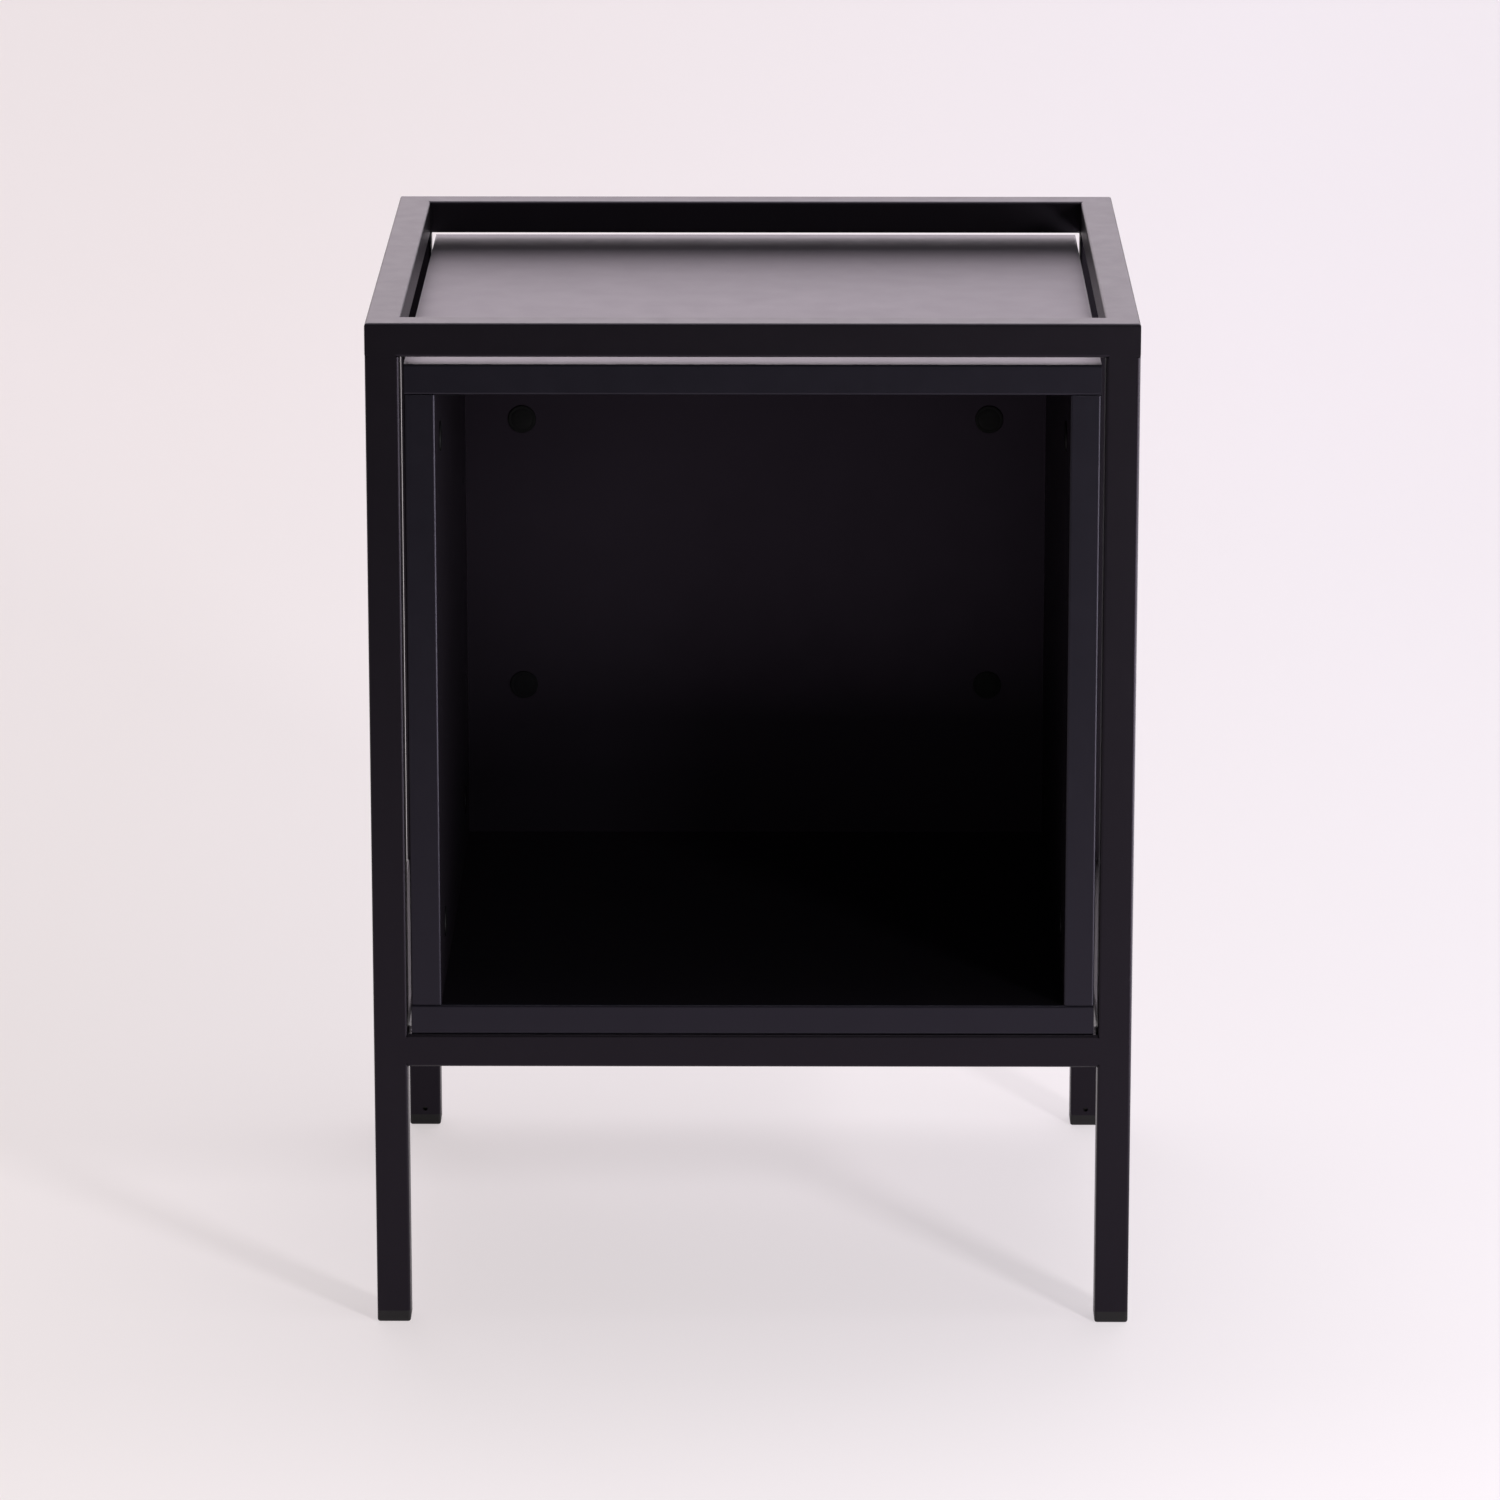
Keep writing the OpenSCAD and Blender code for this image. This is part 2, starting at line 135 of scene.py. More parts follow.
class StageSettings(bpy.types.PropertyGroup):
    """The floor, the lights and the camera."""

    floor_colour: colour("Floor", "Colour of the floor and the backdrop", (0.86, 0.805, 0.835))
    paper_width: length("Paper width", "Width of the floor and the backdrop", 24, 1, 50)
    paper_height: length("Paper height", "Height of the backdrop", 5, 1, 20)
    backdrop: length("Backdrop distance", "Distance of the backdrop behind the case", 4.5, 1, 20)
    bend: length("Backdrop bend", "Radius where the floor turns up", 2.0, 0.1, 5)
    front: length("Paper front", "Distance of the paper's front edge from the case", 1.25, 1, 10)
    # Painted light: the left glow colour paints shade on the paper to the left, the right one paints
    # light to the right, and the front glow paints the paper lighter ahead of the case
    glow_left_painted_shade: colour("Glow, left", "Colour of the paper's plain glow to the left", (0.85, 0.785, 0.775))
    glow_right_painted_light: colour("Glow, right", "Colour of the paper's plain glow to the right", (0.91, 0.86, 0.91))
    lift: share("Lift", "Share of the backdrop that the camera sees as a plain glow", 0.65)
    front_glow_painted_light: FloatProperty(name="Front glow", description="Strength of the glow ahead of the case",
                              default=1.1, min=0.0, max=2.0)
    world_colour: colour("World colour", "Colour of the room's light", (1.0, 0.975, 0.985))
    world_light: FloatProperty(name="World light", description="Strength of the room's light",
                               default=0.14, min=0.0, max=2.0)
    camera_place: FloatVectorProperty(name="Camera place", description="Where the camera stands",
                                      default=(0.0202, -4.354, 1.4427), size=3,
                                      subtype="TRANSLATION", unit="LENGTH")
    camera_turn: FloatVectorProperty(name="Camera turn", description="How the camera is turned",
                                     default=(pi / 2 - 0.2564, 0.0001, 0.0052), size=3,
                                     subtype="EULER")
    camera_lens: FloatProperty(name="Lens", description="Focal length on a 36 mm sensor",
                               default=175.17, min=10, max=400)


# ---- Surfaces ----

def square_ring(side, radius, steps):
    """Outline of a rounded square, anticlockwise. Each corner is a quarter circle: the corner's
    centre, side / 2 - radius from the middle both ways, plus radius times (cos a, sin a)."""
    a = np.linspace(0, pi / 2, steps + 1)[None, :] + np.arange(4)[:, None] * pi / 2
    quadrant = (np.arange(4) * pi / 2 + pi / 4)[:, None]
    centre = (side / 2 - radius) * np.stack([np.sign(np.cos(quadrant)), np.sign(np.sin(quadrant))], -1)
    return (centre + radius * np.stack([np.cos(a), np.sin(a)], -1)).reshape(-1, 2)


def circle_ring(radius, steps):
    """Points of a circle about the origin, anticlockwise: radius times (cos a, sin a)."""
    a = np.arange(steps) / steps * 2 * pi
    return radius * np.stack([np.cos(a), np.sin(a)], -1)


def lofted(rings, heights):
    """A surface through rings of equal count: ring k lies at heights[k], which may be one number
    or one per point. Returns the points as an array of rings."""
    rings = np.asarray(rings, float)
    z = np.stack([np.broadcast_to(h, rings.shape[1]) for h in heights])
    return np.concatenate([rings, z[..., None]], -1)


def strips(rows, count, closed=False, start=0):
    """Quads between neighbouring rings: corner (k, i), (k, i + 1), (k + 1, i + 1), (k + 1, i),
    where i wraps round, and k wraps too where closed is true."""
    k, i = np.meshgrid(np.arange(rows if closed else rows - 1), np.arange(count), indexing="ij")
    k2, i2 = (k + 1) % rows, (i + 1) % count
    quads = np.stack([k * count + i, k * count + i2, k2 * count + i2, k2 * count + i], -1)
    return (quads.reshape(-1, 4) + start).tolist()


def solid_loft(points):
    """A closed solid from lofted rings, with a flat cap on the first ring and on the last."""
    rows, count = points.shape[:2]
    low = list(range(count))[::-1]
    high = list(range((rows - 1) * count, rows * count))
    return points.reshape(-1, 3), strips(rows, count) + [low, high]


def join(parts):
    """Several (points, faces) pairs as one pair."""
    points, faces, start = [], [], 0
    for p, f in parts:
        points.append(p)
        faces += [[i + start for i in face] for face in f]
        start += len(p)
    return np.concatenate(points), faces


def placed(part, x_axis, y_axis, z_axis, origin):
    """Moves a (points, faces) pair so that its axes lie along the given ones. Axes that mirror
    the pair also turn its faces over, so that they still point outwards."""
    points, faces = part
    axes = np.array([x_axis, y_axis, z_axis], float)
    moved = points @ axes + np.asarray(origin, float)
    if np.linalg.det(axes) < 0:
        faces = [face[::-1] for face in faces]
    return moved, faces


# ---- Finishes ----

class Finish:
    """A procedural material on Object coordinates, built up one effect at a time."""

    def __init__(self, name, colour, roughness, metallic=0.0, specular=0.5, tint=(1, 1, 1)):
        self.material = bpy.data.materials.new(name)
        self.material.use_nodes = True
        self.tree = self.material.node_tree
        self.shader = self.tree.nodes["Principled BSDF"]
        self.shader.inputs["Base Color"].default_value = (*colour, 1)
        self.shader.inputs["Roughness"].default_value = roughness
        self.shader.inputs["Metallic"].default_value = metallic
        self.shader.inputs["Specular IOR Level"].default_value = specular
        self.shader.inputs["Specular Tint"].default_value = (*tint, 1)
        self.colour, self.roughness = colour, roughness
        self.coords = self.tree.nodes.new("ShaderNodeTexCoord").outputs["Object"]
        self.height = None

    def node(self, kind, **settings):
        """A new node with the given settings: sockets by name, and attributes."""
        made = self.tree.nodes.new(kind)
        for key, value in settings.items():
            if key in made.inputs:
                made.inputs[key].default_value = value
            else:
                setattr(made, key, value)
        return made

    def link(self, a, b):
        """Joins output a to input b."""
        self.tree.links.new(a, b)

    def noise(self, size, detail=3.0, stretch=(1, 1, 1)):
        """Noise whose features are about size metres across, stretched along each axis."""
        mapping = self.node("ShaderNodeMapping")
        mapping.inputs["Scale"].default_value = [1 / (size * s) for s in stretch]
        texture = self.node("ShaderNodeTexNoise", Scale=1.0, Detail=detail)
        self.link(self.coords, mapping.inputs["Vector"])
        self.link(mapping.outputs["Vector"], texture.inputs["Vector"])
        return texture.outputs["Fac"]

    def ramp(self, value, low, high, to_low, to_high):
        """value from low..high carried to to_low..to_high, and held at the ends."""
        made = self.node("ShaderNodeMapRange")
        for key, number in zip(("From Min", "From Max", "To Min", "To Max"),
                               (low, high, to_low, to_high)):
            made.inputs[key].default_value = number
        self.link(value, made.inputs["Value"])
        return made.outputs["Result"]

    def blend(self, value, low, high):
        """A colour that goes from low to high by value."""
        mix = self.node("ShaderNodeMix", data_type="RGBA")
        ends = [socket for socket in mix.inputs if socket.type == "RGBA"]
        for socket, end in zip(ends, (low, high)):
            socket.default_value = (*end, 1)
        self.link(value, mix.inputs["Factor"])
        return [socket for socket in mix.outputs if socket.type == "RGBA"][0]

    def vary_colour(self, value, dark, light):
        """Mixes the colour from dark times itself to light times itself by value."""
        low, high = ([min(c * factor, 1) for c in self.colour] for factor in (dark, light))
        self.link(self.blend(value, low, high), self.shader.inputs["Base Color"])

    def vary_roughness(self, value, spread):
        """Roughness from spread below to spread above its middle, by value."""
        result = self.ramp(value, 0.3, 0.7, self.roughness - spread, self.roughness + spread)
        self.link(result, self.shader.inputs["Roughness"])

    def bump(self, value, depth):
        """Raises the surface by value times depth metres, on top of earlier bumps."""
        made = self.node("ShaderNodeBump", Strength=1.0, Distance=depth)
        self.link(value, made.inputs["Height"])
        if self.height:
            self.link(self.height, made.inputs["Normal"])
        self.height = made.outputs["Normal"]
        self.link(self.height, self.shader.inputs["Normal"])

    def texture(self, clouds, sheen, spread, grain, depth, dark=0.85, light=1.2):
        """Clouds the colour, changes the sheen, and raises a grain of the given depth. clouds,
        sheen and grain are how many metres across the features of each are."""
        self.vary_colour(self.noise(clouds), dark, light)
        self.vary_roughness(self.noise(sheen), spread)
        self.bump(self.noise(grain, 2.0), depth)

    def lift(self, amount, left, right, front):
        """Shows that amount of a plain glow to the camera and to what is glossy or clear, so that
        the rest of the light still draws the shadows. The glow turns from the left colour to the
        right one over a metre, as painted shade to the left and painted light to the right, and
        is front times itself ahead of the case, as painted light that leaves the paper near the
        case looking shaded."""
        rays = self.tree.nodes.new("ShaderNodeLightPath")
        seen = rays.outputs["Is Camera Ray"]
        for other in ("Is Glossy Ray", "Is Transmission Ray"):
            either = self.node("ShaderNodeMath", operation="MAXIMUM")
            self.link(seen, either.inputs[0])
            self.link(rays.outputs[other], either.inputs[1])
            seen = either.outputs[0]
        part = self.node("ShaderNodeMath", operation="MULTIPLY")
        part.inputs[1].default_value = amount
        self.link(seen, part.inputs[0])
        glow = self.node("ShaderNodeEmission")
        place = self.node("ShaderNodeSeparateXYZ")
        self.link(self.coords, place.inputs["Vector"])
        # Painted light: the glow blends from the dimmer left colour to the brighter right one across X
        painted_light_across = self.ramp(place.outputs["X"], -0.5, 0.5, 0, 1)
        self.link(self.blend(painted_light_across, left, right), glow.inputs["Color"])
        # Painted light: the glow is stronger ahead of the case, so the paper near it looks shaded
        painted_light_ahead = self.ramp(place.outputs["Y"], -0.75, -0.3, front, 1.0)
        self.link(painted_light_ahead, glow.inputs["Strength"])
        mix = self.node("ShaderNodeMixShader")
        self.link(part.outputs[0], mix.inputs[0])
        self.link(self.shader.outputs["BSDF"], mix.inputs[1])
        self.link(glow.outputs["Emission"], mix.inputs[2])
        self.link(mix.outputs["Shader"], self.tree.nodes["Material Output"].inputs["Surface"])


def powder_coat(settings):
    """Black powder coat: orange peel, a fine grain in it, and slow changes of sheen."""
    f = Finish("powder_coat", settings.coat_colour, settings.coat_roughness, specular=0.27,
               tint=settings.coat_tint)
    orange_peel = f.noise(0.0016, 1.0)
    f.bump(orange_peel, 0.00002)
    f.texture(clouds=0.03, sheen=0.012, spread=0.015, grain=0.0005, depth=0.000006)
    return f.material


def faced_board(settings):
    """Matt black laminate: a fine pressed grain and faint clouding."""
    f = Finish("faced_board", settings.board_colour, settings.board_roughness, specular=0.44,
               tint=settings.board_tint)
    f.texture(clouds=0.05, sheen=0.02, spread=0.012, grain=0.0007, depth=0.000008)
    return f.material


def edge_band(settings):
    """Satin black edge band: a fine grain and a slow change of sheen."""
    f = Finish("edge_band", settings.band_colour, settings.band_roughness, specular=0.35,
               tint=settings.band_tint)
    f.texture(clouds=0.02, sheen=0.01, spread=0.015, grain=0.0006, depth=0.000006)
    return f.material


def moulded_plastic(name, colour, roughness, specular=0.5):
    """Moulded plastic with a fine eroded texture."""
    f = Finish(name, colour, roughness, specular=specular)
    f.texture(clouds=0.006, sheen=0.003, spread=0.05, grain=0.0004, depth=0.000015)
    return f.material


def bare_metal(name, colour, roughness):
    """Plated or cast metal with fine pits and cloudy sheen."""
    f = Finish(name, colour, roughness, metallic=1.0)
    f.texture(clouds=0.004, sheen=0.002, spread=0.08, grain=0.0005, depth=0.00002, dark=0.8, light=1.1)
    return f.material


def plain_beech(name, colour):
    """Beech with its grain along Z."""
    f = Finish(name, colour, 0.6)
    grain = f.noise(0.0008, 3.0, stretch=(1, 1, 18))
    f.vary_colour(grain, 0.75, 1.15)
    f.vary_roughness(grain, 0.08)
    f.bump(grain, 0.00004)
    return f.material


FINISHES = {}


def finish(name):
    """The finish of that name, made once from the settings."""
    if name not in FINISHES:
        steel, case = bpy.context.scene.case_frame, bpy.context.scene.case_body
        made = {
            "black_steel": lambda: powder_coat(steel),
            "black_board": lambda: faced_board(case),
            "edge_band": lambda: edge_band(case),
            "foot_plastic": lambda: moulded_plastic("foot_plastic", steel.foot_colour, 0.5, 0.35),
            "cover_plastic": lambda: moulded_plastic("cover_plastic", case.cover_colour, 0.5, 0.24),
            "cam_metal": lambda: bare_metal("cam_metal", case.cam_colour, 0.45),
            "bolt_steel": lambda: bare_metal("bolt_steel", case.bolt_colour, 0.3),
            "dowel_wood": lambda: plain_beech("dowel_wood", case.dowel_colour),
        }
        FINISHES[name] = made[name]()
    return FINISHES[name]


# ---- Pieces ----

def add_piece(name, part, slot, node):
    """Makes a piece of a (points, faces) pair, in place of a CAD node."""
    points, faces = part
    mesh = bpy.data.meshes.new(name)
    mesh.from_pydata(points.tolist(), [], faces)
    mesh.update()
    finish_piece(name, mesh, slot, node)


def finish_piece(name, mesh, slot, node):
    """Shades a mesh smooth across gentle bends, gives it its slot's finish, and rides it on the
    frame in place of a CAD node."""
    mesh.shade_smooth()
    mesh.set_sharp_from_angle(angle=SMOOTH_BELOW)
    mesh.materials.clear()
    mesh.materials.append(finish(slot))
    piece = bpy.data.objects.new(name, mesh)
    bpy.context.scene.collection.objects.link(piece)
    weights = piece.modifiers.new("Weighted normals", "WEIGHTED_NORMAL")
    weights.keep_sharp = True
    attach(piece, BODY)
    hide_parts(node)


def finish_node(node, slot):
    """Gives a CAD node the finish of that slot."""
    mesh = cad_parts[node].data
    mesh.materials.clear()
    mesh.materials.append(finish(slot))


# ---- Pieces of the frame ----

def tube(side, low, high, low_slope=0.0, high_slope=0.0):
    """A square tube along Z, as four rings: outside low, outside high, inside high, inside low.
    An end cut on the slant lies at its height plus the slope times x."""
    steel = bpy.context.scene.case_frame
    outer = square_ring(side, steel.tube_radius, steel.arc_steps)
    bore_radius = max(steel.tube_radius - steel.wall, steel.bore_radius)
    inner = square_ring(side - 2 * steel.wall, bore_radius, steel.arc_steps)
    heights = [low + low_slope * outer[:, 0], high + high_slope * outer[:, 0],
               high + high_slope * inner[:, 0], low + low_slope * inner[:, 0]]
    points = lofted([outer, outer, inner, inner], heights)
    return points.reshape(-1, 3), strips(4, len(outer), closed=True)


def round_bar(radius, low, high, steps=32):
    """A closed cylinder about Z, from height low to height high."""
    return solid_loft(lofted([circle_ring(radius, steps)] * 2, [low, high]))


def cut_with(piece_name, part, cutter):
    """The mesh of one (points, faces) pair less another, by an exact boolean."""
    made = []
    for suffix, (points, faces) in (("", part), ("_cutter", cutter)):
        mesh = bpy.data.meshes.new(piece_name + suffix)
        mesh.from_pydata(points.tolist(), [], faces)
        made.append(bpy.data.objects.new(piece_name + suffix, mesh))
        bpy.context.scene.collection.objects.link(made[-1])
    body, tool = made
    boolean = body.modifiers.new("Cut", "BOOLEAN")
    boolean.operation, boolean.solver, boolean.object = "DIFFERENCE", "EXACT", tool
    scene_state = bpy.context.evaluated_depsgraph_get()
    mesh = bpy.data.meshes.new_from_object(body.evaluated_get(scene_state))
    for scrap in made:
        bpy.data.objects.remove(scrap)
    return mesh


class CASE_OT_posts(bpy.types.Operator):
    """Builds the four posts, each with its vent hole"""

    bl_idname = "display_case.posts"
    bl_label = "Posts"

    def execute(self, context):
        steel = context.scene.case_frame
        for corner, (_, sy) in CORNERS.items():
            node = "post_" + corner
            low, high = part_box(node)
            middle = (low + high) / 2
            part = placed(tube(high.x - low.x, low.z, high.z), RIGHT, BACK, UP,
                          (middle.x, middle.y, 0))
            hole = round_bar(steel.vent_radius, -2 * steel.wall, 2 * steel.wall)
            inner_face = middle.y - sy * (high.y - low.y) / 2
            cutter = placed(hole, RIGHT, UP, FRONT,
                            (middle.x, inner_face, low.z + steel.vent_rise))
            name = node + "_tube"
            mesh = cut_with(name, part, cutter)
            finish_piece(name, mesh, "black_steel", node)
        return {"FINISHED"}


def screw_places(rail):
    """Where the two case screws stand on a lower rail: each (x, y) in its middle line."""
    low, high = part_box(rail)
    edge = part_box("post_back_right")[1].x - bpy.context.scene.case_body.screw_inset
    return [(sx * edge, (low.y + high.y) / 2) for sx in (-1, 1)]


def screw_holes(rail):
    """Cutters for a lower rail: a wide hole in its lower wall that lets each screw in, and a
    close one in its upper wall."""
    steel, case = bpy.context.scene.case_frame, bpy.context.scene.case_body
    low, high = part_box(rail)
    access = round_bar(case.access_radius, low.z - steel.wall, low.z + 2 * steel.wall)
    close = round_bar(case.screw_radius + case.screw_play, high.z - 2 * steel.wall,
                      high.z + steel.wall)
    return join([placed(bar, RIGHT, BACK, UP, (x, y, 0))
                 for x, y in screw_places(rail) for bar in (access, close)])


class CASE_OT_rails(bpy.types.Operator):
    """Builds the mitred upper rails and the straight lower rails, drilled for the case screws"""

    bl_idname = "display_case.rails"
    bl_label = "Rails"

    def execute(self, context):
        for side in ("front", "back", "left", "right"):
            for level in ("top", "low"):
                node = level + "_rail_" + side
                low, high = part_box(node)
                middle = (low + high) / 2
                size = high.z - low.z
                outward = 1 if side in ("back", "right") else -1
                slope = 1.0 if level == "top" else 0.0
                if side in ("front", "back"):
                    along, across, half = RIGHT, (0, outward, 0), (high.x - low.x) / 2
                else:
                    along, across, half = BACK, (outward, 0, 0), (high.y - low.y) / 2
                # A mitred end reaches its full length at the outside of the ring
                end = half - slope * size / 2
                part = placed(tube(size, -end, end, -slope, slope), across, UP, along, middle)
                name = node + "_tube"
                if node in ("low_rail_front", "low_rail_back"):
                    mesh = cut_with(name, part, screw_holes(node))
                    finish_piece(name, mesh, "black_steel", node)
                else:
                    add_piece(name, part, "black_steel", node)
        return {"FINISHED"}


def weld_fillet(leg, run, ripple):
    """A hollow weld fillet along Z in the corner of the planes x = 0 and y = 0. Across it, the
    face is a quarter circle that hollows towards the corner. Along it, the leg swells and
    shrinks as the absolute sine of the distance, one arch to each ripple, and it tapers to
    half at both ends."""
    z = np.linspace(0, run, 6 * max(int(run / ripple), 1) + 1)
    arch = 0.8 + 0.2 * np.abs(np.sin(z / ripple * pi))
    taper = np.minimum(1, 0.5 + np.minimum(z, run - z) / (1.5 * leg))
    size = leg * arch * taper
    a = np.linspace(0, pi / 2, 6)
    # The quarter circle's centre is at (leg, leg), so its middle lies towards the corner
    face = np.stack([1 - np.sin(a), 1 - np.cos(a)], -1)[::-1]
    ring = np.concatenate([face, [[0, 0]]])
    points = np.concatenate([ring[None] * size[:, None, None],
                             np.broadcast_to(z[:, None, None], (len(z), len(ring), 1))], -1)
    return solid_loft(points)


def flush_seam(radius, run, steps=6):
    """Weld metal ground flush along Z: a square of side radius from the origin, less a quarter
    circle about (radius, 0)."""
    a = np.linspace(pi, pi / 2, steps + 1)
    arc = np.stack([radius + radius * np.cos(a), radius * np.sin(a)], -1)
    ring = np.concatenate([arc, [[0, radius]]])
    return solid_loft(lofted([ring, ring], [0, run]))


class CASE_OT_welds(bpy.types.Operator):
    """Builds the small fillets inside the corners and the flush seams outside them"""

    bl_idname = "display_case.welds"
    bl_label = "Welds"

    def execute(self, context):
        steel = context.scene.case_frame
        r, leg = steel.tube_radius, steel.weld_leg
        post_low, post_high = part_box("post_back_right")
        rail_low, rail_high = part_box("low_rail_back")
        size = post_high.x - post_low.x
        run = size - 2 * r
        ring_z = post_high.z
        up = np.array(UP)
        parts = []
        for sx in (-1, 1):
            for sy in (-1, 1):
                # Twice at each corner: rails along X into the post, then rails along Y
                for along_x in (True, False):
                    if along_x:
                        inward, outward = np.array([-sx, 0, 0]), np.array([0, sy, 0])
                        inner, outer = post_low.x, post_high.y
                        corner = np.array([sx * inner, sy * outer, 0])
                    else:
                        inward, outward = np.array([0, -sy, 0]), np.array([sx, 0, 0])
                        inner, outer = post_low.y, post_high.x
                        corner = np.array([sx * outer, sy * inner, 0])
                    start = corner - outward * r
                    fillet = weld_fillet(leg, run, steel.weld_ripple)
                    for z, rise in ((rail_high.z, up), (rail_low.z, -up), (ring_z, -up)):
                        parts.append(placed(fillet, inward, rise, -outward, start + up * z))
                    seam = flush_seam(r, run)
                    parts.append(placed(seam, -inward, outward, up, start + up * (rail_low.z + r)))
                    end = start - inward * (size - r)
                    parts.append(placed(seam, up, outward, inward, end + up * ring_z))
        add_piece("weld_bead_runs", join(parts), "black_steel", "weld_beads")
        return {"FINISHED"}


class CASE_OT_feet(bpy.types.Operator):
    """Builds the four foot plugs, each a head with a rounded underside and a ribbed stem"""

    bl_idname = "display_case.feet"
    bl_label = "Feet"

    def execute(self, context):
        steel = context.scene.case_frame
        for corner in CORNERS:
            node = "foot_" + corner
            low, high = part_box(node)
            middle = (low + high) / 2
            side, head = high.x - low.x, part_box("post_" + corner)[0].z
            inside = side - 2 * steel.wall
            a = np.linspace(0, pi / 2, 7)
            insets = steel.foot_round * (1 - np.sin(a))
            rings = [square_ring(side - 2 * i, max(steel.tube_radius - i, steel.foot_corner),
                                 steel.arc_steps) for i in insets]
            heights = list(steel.foot_round * (1 - np.cos(a)))
            rings.append(square_ring(side, steel.tube_radius, steel.arc_steps))
            heights.append(head)
            for width, height in self.stem(steel, inside, head, high.z):
                rings.append(square_ring(width, steel.stem_corner, steel.arc_steps))
                heights.append(height)
            part = placed(solid_loft(lofted(rings, heights)), RIGHT, BACK, UP,
                          (middle.x, middle.y, 0))
            add_piece(node + "_plug", part, "foot_plastic", node)
        return {"FINISHED"}

    def stem(self, steel, inside, head, top):
        """Widths and heights up the plug from its head: a plain core and three ribs."""
        core, rib = inside - 2 * steel.stem_gap, inside - 2 * steel.rib_play
        thick = steel.rib_thickness
        steps = [(core, head)]
        for z in np.linspace(head + 4 * thick, top - 2 * thick, 3):
            steps += [(core, z), (rib, z), (rib, z + thick), (core, z + thick)]
        return steps + [(core, top)]


# ---- Pieces of the case ----

class CASE_OT_boards(bpy.types.Operator):
    """Gives the boards their faced finish, and the plain bands theirs"""

    bl_idname = "display_case.boards"
    bl_label = "Boards"

    def execute(self, context):
        for node in ("case_top", "case_bottom", "case_left", "case_right", "case_back"):
            finish_node(node, "black_board")
        for node in ("end_bands", "back_bands_flat", "back_bands_side"):
            finish_node(node, "edge_band")
        return {"FINISHED"}


def band(width, thickness, run, radius, ease, steps=8):
    """An edge band along Z, with its front at y = 0 and its back at y = thickness. The two front
    edges are quarter circles, and both ends are eased by shrinking the outline there."""
    a = np.linspace(0, pi / 2, steps + 1)
    half = width / 2
    left = np.stack([-half + radius - radius * np.cos(a), radius - radius * np.sin(a)], -1)
    right = np.stack([half - radius + radius * np.sin(a), radius - radius * np.cos(a)], -1)
    ring = np.concatenate([left, right, [[half, thickness], [-half, thickness]]])
    middle = np.array([0, thickness])
    shrink = 1 - ease / np.array([half, thickness])
    eased = middle + (ring - middle) * shrink
    return solid_loft(lofted([eased, ring, ring, eased], [0, ease, run - ease, run]))


class CASE_OT_front_bands(bpy.types.Operator):
    """Builds the four bands round the case's open front"""

    bl_idname = "display_case.front_bands"
    bl_label = "Front bands"

    def execute(self, context):
        case = context.scene.case_body
        for side in ("top", "bottom", "left", "right"):
            node = "front_band_" + side
            low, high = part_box(node)
            middle = (low + high) / 2
            thickness = high.y - low.y
            if side in ("top", "bottom"):
                shape = band(high.z - low.z, thickness, high.x - low.x, case.band_radius, case.seam)
                part = placed(shape, UP, BACK, RIGHT, (low.x, low.y, middle.z))
            else:
                shape = band(high.x - low.x, thickness, high.z - low.z, case.band_radius, case.seam)
                part = placed(shape, RIGHT, BACK, UP, (middle.x, low.y, low.z))
            add_piece(node + "_strip", part, "edge_band", node)
        return {"FINISHED"}


def turned(profile, steps=48):
    """A solid of revolution about Z: each (radius, height) of the profile is a circle."""
    return solid_loft(lofted([circle_ring(r, steps) for r, _ in profile], [z for _, z in profile]))


def cover_shape(radius, thickness):
    """A cam cover about Z: a disc whose edge is a quarter round and whose face is a low dome with
    a shallow ring in it."""
    edge, shoulder, ring_depth = 0.5 * thickness, 0.85 * thickness, 0.12 * thickness
    ease = 0.2 * edge
    a = np.linspace(0, pi / 2, 6)
    rim = [(radius - edge + edge * np.cos(t), shoulder - edge + edge * np.sin(t)) for t in a]
    share_out = np.array([0.8, 0.78, 0.74, 0.72, 0.5, 0.25, 0.02])
    in_ring = np.array([0, 1, 1, 0, 0, 0, 0])
    dome = shoulder + (thickness - shoulder) * (1 - share_out ** 2)
    face = list(zip(radius * share_out, dome - in_ring * ring_depth))
    return turned([(radius - ease, 0), (radius, ease)] + rim + face)


class CASE_OT_covers(bpy.types.Operator):
    """Builds the covers on the twelve cam locks"""

    bl_idname = "display_case.covers"
    bl_label = "Cam covers"

    def execute(self, context):
        case = context.scene.case_body
        cover = cover_shape(case.cover_radius, case.cover_thickness)
        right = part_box("case_right")[0].x
        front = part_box("front_band_top")[0].y
        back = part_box("case_back")[0].y
        floor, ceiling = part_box("case_bottom")[1].z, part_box("case_top")[0].z
        middle = (floor + ceiling) / 2
        parts = []
        for sx in (-1, 1):
            for y in (front + case.cam_inset, back - case.cam_inset):
                for z in (floor + case.cam_edge, ceiling - case.cam_edge):
                    parts.append(placed(cover, BACK, UP, (-sx, 0, 0), (sx * right, y, z)))
            for z in (middle - case.cam_rise, middle + case.cam_rise):
                parts.append(placed(cover, RIGHT, UP, FRONT, (sx * (right - case.cam_edge), back, z)))
        add_piece("cam_cover_caps", join(parts), "cover_plastic", "cam_covers")
        return {"FINISHED"}


